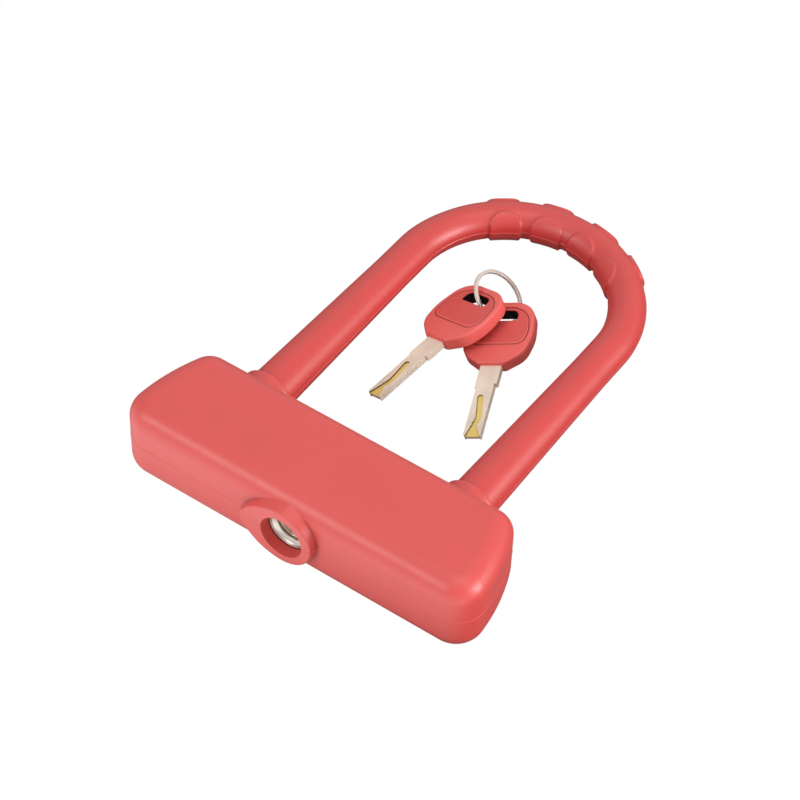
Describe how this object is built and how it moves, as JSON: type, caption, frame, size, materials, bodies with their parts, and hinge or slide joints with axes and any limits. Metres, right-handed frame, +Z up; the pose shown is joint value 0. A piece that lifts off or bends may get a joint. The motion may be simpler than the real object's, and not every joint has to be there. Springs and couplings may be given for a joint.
{
  "type": "u lock",
  "caption": "Bicycle U lock: silicone-covered crossbar with lock cylinder, U shackle in a grip sleeve, and two keys on a split ring.",
  "frame": {"origin": "middle of the crossbar's flat underside", "axes": "+X along the crossbar, +Y along the shackle's legs away from the crossbar, +Z up from the face it lies on; the keyhole faces -Y"},
  "size_m": [0.1528, 0.2001, 0.0345],
  "materials": {
    "red_silicone": "matt moulded silicone",
    "red_plastic": "satin moulded plastic",
    "black_plastic": "dark satin plastic",
    "nickel": "nickel plate",
    "ring_steel": "bright plated wire",
    "case_steel": "plain steel",
    "hardened_steel": "hardened steel",
    "polished_steel": "polished steel",
    "zinc_casting": "die-cast zinc",
    "brass": "machined brass",
    "black_rubber": "rubber ring"
  },
  "bodies": {
    "crossbar": {"crossbar_cover": "red_silicone", "crossbar_case": "case_steel", "end_cap_left": "case_steel", "end_cap_right": "case_steel", "end_cap_pins": "hardened_steel", "cylinder_bezel": "polished_steel", "cylinder_housing": "brass", "cylinder_pin": "hardened_steel", "bolt_guide_left": "zinc_casting", "bolt_guide_right": "zinc_casting", "guide_screws": "hardened_steel", "leg_socket_left": "zinc_casting", "leg_socket_right": "zinc_casting", "dust_seal_left": "black_rubber", "dust_seal_right": "black_rubber"},
    "shackle": {"shackle_rod": "hardened_steel", "shackle_sleeve": "red_silicone"},
    "plug": {"key_plug": "brass", "anti_drill_disc": "polished_steel", "wafers": "brass", "plug_cam": "hardened_steel", "cam_screw": "hardened_steel"},
    "bolt_left": {"bolt_left": "hardened_steel"},
    "bolt_right": {"bolt_right": "hardened_steel"},
    "key_b": {"key_b_head": "red_plastic", "key_b_liner": "black_plastic", "key_b_blade": "nickel"},
    "ring": {"key_ring": "ring_steel"},
    "key_a": {"key_a_head": "red_plastic", "key_a_liner": "black_plastic", "key_a_blade": "nickel"}
  },
  "joints": [
    {"name": "shackle_slide", "type": "slide", "parent": "crossbar", "child": "shackle", "axis": [0, 1, 0], "range_m": [0, 0.045]},
    {"name": "plug_turn", "type": "hinge", "parent": "crossbar", "child": "plug", "pos_m": [0, 0, 0.01725], "axis": [0, 1, 0], "range_deg": [0, 90]},
    {"name": "bolt_left_slide", "type": "slide", "parent": "crossbar", "child": "bolt_left", "axis": [-1, 0, 0], "range_m": [0, 0.0042]},
    {"name": "bolt_right_slide", "type": "slide", "parent": "crossbar", "child": "bolt_right", "axis": [1, 0, 0], "range_m": [0, 0.0042]},
    {"name": "key_lift", "type": "slide", "parent": "crossbar", "child": "key_b", "axis": [0, 0, 1], "range_m": [0, 0.05]},
    {"name": "ring_swing", "type": "hinge", "parent": "key_b", "child": "ring", "pos_m": [-0.00171, 0.11737, 0.0065], "axis": [0.143, 0.7849, -0.6029], "range_deg": [0, 15]},
    {"name": "key_a_swing", "type": "hinge", "parent": "ring", "child": "key_a", "pos_m": [-0.00999, 0.11533, 0.01311], "axis": [-0.504, 0.256, 0.8249], "range_deg": [0, 12]}
  ],
  "couplings": [
    {"joint": "bolt_left_slide", "follows": "plug_turn", "m_per_rad": 0.0026738},
    {"joint": "bolt_right_slide", "follows": "plug_turn", "m_per_rad": 0.0026738}
  ]
}
